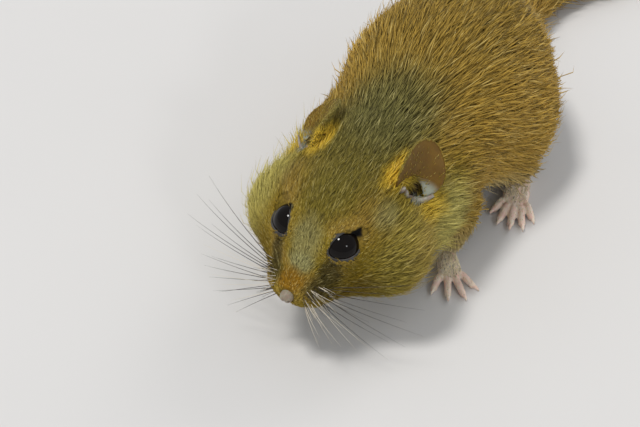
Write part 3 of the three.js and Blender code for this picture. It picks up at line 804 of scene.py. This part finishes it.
def cheek_share(p):
    """1 on the full cheeks and the temples over them, 0 elsewhere."""
    return (smooth(8.0, 11.5, np.abs(p[:, 0])) * smooth(-30, -24, p[:, 1]) * smooth(-9, -14, p[:, 1])
            * smooth(9, 13, p[:, 2]))


def coat_lean(p):
    """How far a tuft's tip stands over the skin, as a share of its length."""
    lean = np.interp(from_nose(p), [0, 6, 14, 24], [0.12, 0.2, 0.24, 0.25])
    lean = lean + 0.24 * cheek_share(p)
    tail = tail_share(p)
    return lean * (1 - tail) + 0.36 * tail


BARE_ROUND_NOSE = 1.5
SOLE_HEIGHT = 0.25
GUARD_HAIRS = 0.07  # the share of long, thin hairs that stand out of the coat
# Each coat piece: its name, the stretch of Y it covers in the layout, its tufts and their width
COAT_PIECES = [
    ("coat_muzzle", -40.0, -30.0, 15000, 0.12),
    ("coat_brow", -30.0, -25.0, 18500, 0.13),
    ("coat_cheeks", -25.0, -19.5, 19500, 0.15),
    ("coat_crown", -19.5, -11.5, 19500, 0.18),
    ("coat_shoulders", -11.5, -1.5, 15500, 0.23),
    ("coat_chest", -1.5, 10.5, 16500, 0.25),
    ("coat_loins", 10.5, 22.5, 15500, 0.25),
    ("coat_rump", 22.5, 37.0, 13500, 0.26),
    ("coat_tail", 37.0, 95.0, 13500, 0.26),
]
SPINE = [(0, -36.0, 14.4), (0, -29.5, 16.6), (0, -21.5, 18.2), (0, -12.0, 17.8), (0, 0, 17.4), (0, 13, 18.0),
         (0, 25, 16.6), (0, 34.5, 12.2)]
NONE = 1e-9  # the density where nothing grows


def bare_places(p, normals):
    """The eye sockets, the rims of the lids, the nose and the hollows of the ears."""
    distance, away = eye_field(p)
    bare = (distance < 4.2) & ((normals * away).sum(1) < -0.25)
    bare |= (distance < 4.5) & (beyond_lids(p) < BARE_ROUND_EYE)
    bare |= from_nose(p) < BARE_ROUND_NOSE
    return bare | (lengths(on_left(p) - EAR_HOLLOW) < EAR_HOLLOW_RADIUS)


def make_coat(skin, lips, material):
    """The coat of head, trunk, legs and tail, in pieces from nose to tail tip."""
    surface, tree = surface_of(skin)
    for name, low, high, count, width in COAT_PIECES:
        def density(p, normals, low=low, high=high):
            inside = (p[:, 1] >= low) & (p[:, 1] < high) & (p[:, 2] >= SOLE_HEIGHT)
            return np.where(inside & ~bare_places(p, normals), 1 / np.maximum(coat_length(p), 0.8), NONE)
        points, normals, p = scatter(surface, density, count)
        if high < -20:
            keep = gaps(p, lips).min(1) > LIP_WIDTH
            points, normals, p = points[keep], normals[keep], p[keep]
        stray = rng.normal(0, 0.16, (len(p), 1))
        lie = parted_lie(p, normals)
        lie = tangent(lie + np.cross(normals, lie) * stray, normals)
        guard = rng.random(len(p)) < GUARD_HAIRS
        length = coat_length(p) * draw(0.7, 1.25, p) * np.where(guard, 1.3, 1.0) * MM
        lean = coat_lean(p) * np.exp(rng.normal(0, 0.25, len(p))) * np.where(guard, 1.35, 1.0)
        widths = width * draw(0.7, 1.3, p) * np.where(guard, 0.6, 1.0) * MM
        on_tail = name == "coat_tail"
        line = curve_through(TAIL_LINE, 60) if on_tail else curve_through(SPINE, 80)
        grow_tufts(name, tree, points, normals, lie, length, lean, widths, wrapped_uv(p, line),
                   material)


# Eyes and lids

def make_eyes(material):
    for side in SIDES:
        low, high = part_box(f"eye_{side}")
        shape = bmesh.new()
        bmesh.ops.create_uvsphere(shape, u_segments=48, v_segments=32, radius=(high.x - low.x) / 2,
                                  matrix=Matrix.Translation((low + high) / 2))
        piece_of(mesh_of(f"eye_{side}_ball", shape), material, [f"eye_{side}"])


LID_STEPS = 56
# Each ring of a lid: how much wider than the opening it is, and its height over the eyeball in
# millimetres. The last two lie on the skin of the face: one just over it and one under it.
LID_RINGS = [(0.0, 0.03), (0.02, 0.16), (0.14, 0.27), (0.34, 0.32), (0.6, 0.32), (1.0, 0.04), (1.5, -0.35)]
ON_SKIN, NEAR_SKIN = 0.9, 0.3


def make_lids(skin, material):
    """Thin lids round each eye, from the edge of the opening out to the skin of the face."""
    _, tree = surface_of(skin)
    made = {}
    for name, side in SIDES.items():
        out, forward, up = (Vector(way) for way in eye_axes(side))
        centre = middle_of(f"eye_{name}")
        shape = bmesh.new()
        loops = []
        for wider, height in LID_RINGS:
            ring = bmesh.ops.create_circle(shape, segments=LID_STEPS, radius=1.0)["verts"]
            for k, vert in enumerate(ring):
                turn = 2 * math.pi * k / LID_STEPS
                reach = float(lid_reach(turn)) + wider
                depth = math.sqrt(max(0.3, EYE_RADIUS ** 2 - min(reach, EYE_RADIUS - 0.1) ** 2))
                aside = forward * math.cos(turn) + up * math.sin(turn)
                way = (out * depth + aside * reach).normalized()
                hit = tree.ray_cast(centre + way * 0.008, -way)[0]
                to_skin = (hit - centre).length / MM if hit else EYE_RADIUS
                if wider < ON_SKIN:
                    over = EYE_RADIUS + height
                    if wider > NEAR_SKIN:
                        over = max(over, min(to_skin, 4.2) + 0.04)
                    vert.co = centre + way * over * MM
                else:
                    place, normal, _, _ = tree.find_nearest(centre + way * min(max(to_skin, 2.75), 4.6) * MM)
                    vert.co = place + normal * height * MM
            loops.append(list({edge for vert in ring for edge in vert.link_edges}))
        for inner, outer in zip(loops, loops[1:]):
            bmesh.ops.bridge_loops(shape, edges=inner + outer)
        mesh = finished(mesh_of(f"lids_{name}", shape),
                        ("SOLIDIFY", {"thickness": 0.08 * MM, "offset": -1.0}),
                        ("SUBSURF", {"levels": 1, "render_levels": 1}))
        piece_of(mesh, material)
        made[name] = mesh
    return made


def make_lid_coat(lids, material):
    """Very short hair on the lids, up to their bare rims."""
    for name, mesh in lids.items():
        surface, tree = surface_of(mesh)
        centre = EYES[SIDES[name]]

        def density(p, normals, centre=centre):
            outward = (normals * (p - centre)).sum(1) > 0
            return np.where(outward & (beyond_lids(p) > BARE_ROUND_EYE), 1, NONE)
        points, normals, p = scatter(surface, density, 1800)
        lie = parted_lie(p, normals)
        length = (0.45 + 0.45 * np.clip(beyond_lids(p) - BARE_ROUND_EYE, 0, 1)) * MM
        lean = draw(0.15, 0.3, p)
        width = draw(0.09, 0.13, p) * MM
        _, forward, up = eye_axes(SIDES[name])
        uv = 0.5 + np.stack([(p - centre) @ forward, (p - centre) @ up], 1) / 10
        grow_tufts(f"coat_lids_{name}", tree, points, normals, lie, length, lean, width, uv, material)


# Nose

def make_nose(material):
    """The bare nose: a soft pad with two wings, a nostril under each and a cleft between them."""
    shape = bmesh.new()
    bmesh.ops.create_icosphere(shape, subdivisions=5, radius=1.0)
    for vert in shape.verts:
        x, y, z = vert.co
        cleft = math.exp(-(x / 0.16) ** 2)
        wing = 0.14 * math.exp(-((abs(x) - 0.62) / 0.3) ** 2 - ((z + 0.1) / 0.5) ** 2)
        swell = 1 + wing - 0.16 * cleft * max(0.0, -y) * (0.35 - z)
        nostril = math.exp(-((abs(x) - 0.6) / 0.17) ** 2 - ((z + 0.12 - 0.5 * (abs(x) - 0.6)) / 0.15) ** 2)
        inward = 0.5 * nostril * max(0.0, -y)
        vert.co = at(x * 1.02 * swell * (1 - 0.1 * inward), NOSE_TIP[1] + 0.85 + y * 1.05 * swell + inward,
                     NOSE_TIP[2] + z * 0.98 * swell)
    piece_of(mesh_of("nose_pad", shape), material, ["nose"])


# Ears

EAR_OPENING = np.array([0.78, -0.6, 0.1])
# How thickly hair grows inside each ear, and how large the folds at its base show through the fur
HAIR_INSIDE = {"left": 0.02, "right": 0.6}
FOLD_SIZE = {"left": 1.0, "right": 0.55}
# The small folds in the notch of the left ear: centre, radii and turn
FOLDS = [((8.1, -17.1, 25.6), (0.40, 0.55, 0.95), 0.5), ((8.7, -16.7, 24.9), (0.38, 0.45, 0.8), -0.3)]
# The rounded lower edge of its cup, from the folds in front to the ear's outer side
CUP_EDGE = [(8.0, -16.9, 25.3), (8.6, -16.4, 24.1), (9.4, -15.6, 23.2),
            (10.7, -14.7, 22.9), (11.8, -13.4, 23.5)]


def make_ear_material():
    """Thin brown ears, paler and bluish at the base, with painted shade in the notch in front."""
    material, tree = new_material("ear_skin")
    place = object_place(tree)
    blotch = noise(tree, place, 420.0, 3.0)
    grain = noise(tree, place, 3600.0, 4.0, 0.65)
    colour = mixed(tree, ranged(tree, blotch, 0.35, 0.65), (0.165, 0.086, 0.007), (0.13, 0.066, 0.006))
    for side in SIDES.values():
        colour = tinted(tree, place, colour, [
            (EAR_BASE, (10.2 * side, -14.4, 23.8), (2.6, 2.0, 1.7), 0.4, 0.9),
            # Painted shade in the notch between the ear and its folds
            (EAR_NOTCH_SHADE, (7.8 * side, -16.6, 25.6), (1.0, 1.3, 1.4), 0.4, 0.85)])
    return shade(material, colour, {
        "Roughness": 0.5, "Specular IOR Level": 0.3, "Subsurface Weight": 0.15,
        "Subsurface Radius": (1.0, 0.4, 0.2), "Subsurface Scale": 0.0005,
    }, bump(tree, grain, 0.00005, 0.6))


def make_ears(skin, material):
    """Smooth thin ears from their solids, with their roots drawn into the skin of the head."""
    _, tree = surface_of(skin)
    made = {}
    for name in SIDES:
        mesh = remeshed(f"ear_{name}_leaf", swollen([f"ear_{name}"], 0.02 * MM), 0.16 * MM, 8)
        rows, _ = rows_of(mesh)
        for row in rows:
            _, normal, _, distance = tree.find_nearest(Vector(row))
            sink = max(0.0, 1 - distance / (1.5 * MM))
            row -= np.array(normal) * 2.2 * MM * sink * sink
        set_vertices(mesh, rows)
        piece_of(mesh, material, [f"ear_{name}"])
        made[name] = mesh
    return made


def make_ear_folds(material):
    """The pale folds of skin in the notch of each ear, and the rounded edge that they run into."""
    shape = bmesh.new()
    for name, side in SIDES.items():
        size = FOLD_SIZE[name] * MM
        for (x, y, z), radii, turn in FOLDS:
            place = Matrix.Translation(at(x * side, y, z)) @ Matrix.Rotation(turn * side, 4, "Y")
            fold = place @ Matrix.Diagonal([*(r * size for r in radii), 1])
            bmesh.ops.create_icosphere(shape, subdivisions=3, radius=1.0, matrix=fold)
        path = [at(x * side, y, z) for x, y, z in curve_through(CUP_EDGE, 15)]
        radii = [(0.2 + 0.32 * math.sin(math.pi * t)) * size for t in np.linspace(0.05, 0.95, 15)]
        ring_tube(shape, path, radii, 12)
    piece_of(mesh_of("ear_folds", shape), material)


def make_ear_coat(leaves, material):
    """Fine fur on the backs and rims of the ears. The inside of the left one stays nearly bare."""
    for name, mesh in leaves.items():
        surface, tree = surface_of(mesh)
        side = SIDES[name]
        root = EAR_ROOT * [side, 1, 1]
        opening = unit(EAR_OPENING * [side, 1, 1])

        def density(p, normals, root=root, opening=opening, inside=HAIR_INSIDE[name]):
            facing = normals @ opening
            rim = (np.abs(facing) < 0.4) & (lengths(p - root) > 4.5)
            return np.where((facing < -0.2) | rim, 1.0, inside)
        points, normals, p = scatter(surface, density, 4200)
        lie = tangent(unit(p - (root - [0, 1.5, 3.0])), normals)
        length = draw(0.45, 0.85, p) * MM
        lean = draw(0.08, 0.2, p)
        width = draw(0.07, 0.12, p) * MM
        uv = wrapped_uv(p, curve_through([root, root + [0.5 * side, 2, 4.5], root + [side, 4, 9]], 20))
        grow_tufts(f"coat_ear_{name}", tree, points, normals, lie, length, lean, width, uv, material)


def make_ear_tufts(skin, material):
    """The long golden hair that stands in front of each ear and covers its front edge."""
    surface, tree = surface_of(skin)

    def density(p, normals):
        away = (on_left(p) - EAR_TUFT) / EAR_TUFT_RADII
        return np.where(lengths(away) < 1, 1, NONE)
    points, normals, p = scatter(surface, density, 1700)
    way = np.sign(p[:, :1]) * [0.75, 0, 0] + [0, 0.5, 0.2]
    lie = tangent(way + rng.normal(0, 0.14, p.shape), normals)
    length = draw(2.0, 3.4, p) * MM
    lean = draw(0.4, 0.72, p)
    width = draw(0.12, 0.2, p) * MM
    grow_tufts("coat_ear_tufts", tree, points, normals, lie, length, lean, width,
               wrapped_uv(p, curve_through(SPINE, 80)), material)


# Feet and claws

WRIST_TOP = 2.2


def digit_places(foot, centre, turn):
    """Where each digit of a foot starts, which way it points, and how long it is."""
    ahead = np.array([math.sin(turn), -math.cos(turn), 0])
    across = np.array([math.cos(turn), math.sin(turn), 0])
    front = np.array([*centre, 0]) + ahead * foot["length"] / 2
    for i, length in enumerate(foot["digits"]):
        share = i / (len(foot["digits"]) - 1) - 0.5
        root = front + across * share * foot["width"] * 1.75
        root = root + ahead * (-0.6 - foot["set_back"] * share * share * 4)
        way = turn + share * foot["spread"]
        yield root, np.array([math.sin(way), -math.cos(way), 0]), length


def make_feet(material):
    """The four feet, smooth and fine, with their wrists sunk into the legs."""
    made = {}
    for name in STANCE:
        shape = swollen([name], 0.15 * MM)
        wrist = [vert for vert in shape.verts if vert.co.z > WRIST_TOP * MM]
        middle = sum((vert.co for vert in wrist), Vector()) / len(wrist)
        for vert in wrist:
            vert.co.x += (middle.x - vert.co.x) * 0.3
            vert.co.y += (middle.y - vert.co.y) * 0.3
            vert.co.z += 1.2 * MM
        mesh = remeshed(name + "_skin", shape, 0.18 * MM, 5)
        rows, _ = rows_of(mesh)
        rows[:, 2] = np.maximum(rows[:, 2], 0.0)
        set_vertices(mesh, rows)
        piece_of(mesh, material, [name])
        made[name] = mesh
    return made


def make_claws(material):
    shape = bmesh.new()
    for foot, centre, turn in STANCE.values():
        radius = foot["radius"]
        for root, ahead, length in digit_places(foot, centre, turn):
            stations = [(length - 0.45, radius * 1.2, 0.26), (length, radius * 1.45, 0.22),
                        (length + 0.4, radius * 1.25, 0.15), (length + 0.65, 0.42, 0.09),
                        (length + 0.75, 0.2, 0.03)]
            path = [at(*(root + ahead * reach + [0, 0, height])) for reach, height, _ in stations]
            ring_tube(shape, path, [size * MM for _, _, size in stations], 8)
    piece_of(mesh_of("claws", shape), material)


def make_foot_coat(feet, material):
    """Short pale hair on the upper side of each foot, thickest towards the leg."""
    def density(p, normals):
        thickness = np.interp(p[:, 2], [0.5, 1.4, 2.6], [0.15, 0.5, 2.5])
        return np.where((normals[:, 2] > -0.2) & (p[:, 2] > 0.5), thickness, NONE)

    for name, mesh in feet.items():
        surface, tree = surface_of(mesh)
        _, centre, turn = STANCE[name]
        points, normals, p = scatter(surface, density, 1300)
        ahead = np.array([math.sin(turn), -math.cos(turn), 0])
        lie = tangent(np.tile(ahead - [0, 0, 0.25], (len(p), 1)), normals)
        length = np.interp(p[:, 2], [0.6, 1.6, 2.6], [0.3, 0.5, 0.8]) * draw(0.7, 1.2, p) * MM
        lean = draw(0.08, 0.2, p)
        width = np.interp(p[:, 2], [0.6, 2.2], [0.07, 0.13]) * draw(0.8, 1.2, p) * MM
        uv = wrapped_uv(p, np.array([*centre, 1.0]) + np.outer(np.linspace(-8, 8, 30), ahead))
        grow_tufts(f"coat_{name}", tree, points, normals, lie, length, lean, width, uv, material)


# Whiskers

def make_whiskers(skin, black, pale):
    """Long stiff hairs in four rows on each whisker pad, with short bristles between them."""
    _, tree = surface_of(skin)
    shapes = {"black": bmesh.new(), "pale": bmesh.new()}

    def grow(start, way, droop, length, root_radius, tint):
        root = tree.find_nearest(start)[0]
        stations = np.linspace(-0.02, 1, 9)
        path = [root + way * length * t + droop * length * 0.32 * t * t for t in stations]
        ring_tube(shapes[tint], path, [(root_radius * (1 - max(t, 0)) + 0.01) * MM for t in stations], 4)

    for side in SIDES.values():
        for row in range(4):
            for k in range(5):
                start = at((2.0 + 0.45 * k) * side, -34.0 + 0.75 * k, 15.2 - 0.75 * row)
                way = Vector((side * (0.72 + 0.06 * k), -0.62 + 0.20 * k, 0.42 - 0.3 * row)).normalized()
                length = (7 + 2.6 * k + rng.uniform(-1, 2)) * MM * (0.8 if side > 0 else 1.0)
                tint = "pale" if k < 3 and rng.random() < 0.35 else "black"
                grow(start, way, Vector((0, 0.55, -0.35 - 0.05 * row)), length,
                     0.045 if tint == "pale" else 0.07, tint)
        for k in range(46):
            across, down = rng.uniform(0, 1, 2)
            start = at((1.9 + 2.6 * across) * side, -34.6 + 3.0 * across, 16.4 - 3.2 * down)
            way = Vector((side * (0.5 + 0.3 * across), -0.45 + 0.35 * across, 0.30 - 0.7 * down))
            grow(start, way.normalized(), Vector((0, 0.3, -0.4)), rng.uniform(1.4, 2.9) * MM, 0.04,
                 "pale" if k % 2 else "black")
    for tint, material in (("black", black), ("pale", pale)):
        piece_of(mesh_of(f"whiskers_{tint}", shapes[tint]), material)


# Floor and light

def make_studio():
    shape = bmesh.new()
    bmesh.ops.create_grid(shape, x_segments=1, y_segments=1, size=3.0)
    mesh = mesh_of("floor", shape)
    floor = placed("floor", mesh)
    material, tree = new_material("pale_floor")
    cloud = noise(tree, object_place(tree), 14.0, 2.0)
    colour = mixed(tree, cloud, (0.62, 0.61, 0.60), (0.66, 0.65, 0.64))
    mesh.materials.append(shade(material, colour, {"Roughness": 0.9}))
    world = bpy.data.worlds.new("soft_daylight")
    world.use_nodes = True
    inputs = world.node_tree.nodes["Background"].inputs
    inputs["Color"].default_value = (0.93, 0.96, 1.0, 1.0)
    inputs["Strength"].default_value = 0.5
    scene.world = world
    scene.view_settings.view_transform = "Standard"
    target = at(0, -22, 16)
    # Each light: where it stands, its strength, how wide it looks in degrees and its tint
    lights = [("key", (-0.16, -0.22, 0.60), 1.9, 11.0, (1.0, 0.98, 0.95)),
              ("fill", (0.45, -0.25, 0.35), 0.35, 9.0, (0.97, 0.98, 1.0)),
              ("rim", (0.10, 0.50, 0.45), 0.45, 25.0, (1.0, 0.98, 0.96))]
    for name, place, strength, width, tint in lights:
        data = bpy.data.lights.new(name, "SUN")
        data.energy, data.angle, data.color = strength, math.radians(width), tint
        light = placed(name, data)
        way = target - Vector(place)
        light.matrix_world = Matrix.Translation(place) @ way.to_track_quat("-Z", "Y").to_matrix().to_4x4()


# Assembly

make_camera()
make_studio()
coat_colours_and_shade = make_coat_colours_and_shade()
fur = make_fur_material(coat_colours_and_shade)
bare = make_bare_skin_material("bare_feet", (0.86, 0.76, 0.62), (0.84, 0.60, 0.50), 700.0, 0.5, 0.00008)
nose_skin = make_bare_skin_material("bare_nose", (0.30, 0.28, 0.20), (0.24, 0.18, 0.13), 900.0, 0.35, 0.00006)
lid_skin = make_bare_skin_material("lid_skin", (0.06, 0.056, 0.05), (0.02, 0.018, 0.016), 900.0, 0.5, 0.00003)

skin_mesh, lip_line = make_skin()
ears = make_ears(skin_mesh, make_ear_material())
press_ear_hollows(skin_mesh)
piece_of(skin_mesh, make_skin_material(coat_colours_and_shade), FLESH + TAIL)
make_coat(skin_mesh, lip_line, fur)
make_eyes(make_eye_material())
make_lid_coat(make_lids(skin_mesh, lid_skin), fur)
make_nose(nose_skin)
make_ear_coat(ears, fur)
make_ear_tufts(skin_mesh, fur)
make_ear_folds(make_bare_skin_material("ear_fold_skin", (0.36, 0.36, 0.29), (0.24, 0.18, 0.14), 900.0,
                                       0.5, 0.00004))
make_foot_coat(make_feet(bare), fur)
make_claws(make_plain_material("pale_horn", (0.78, 0.66, 0.55), (0.66, 0.50, 0.40), 0.35))
make_whiskers(skin_mesh, make_plain_material("black_whisker", (0.02, 0.016, 0.012), (0.05, 0.04, 0.03), 0.4),
              make_plain_material("pale_whisker", (0.75, 0.68, 0.55), (0.6, 0.52, 0.4), 0.4))
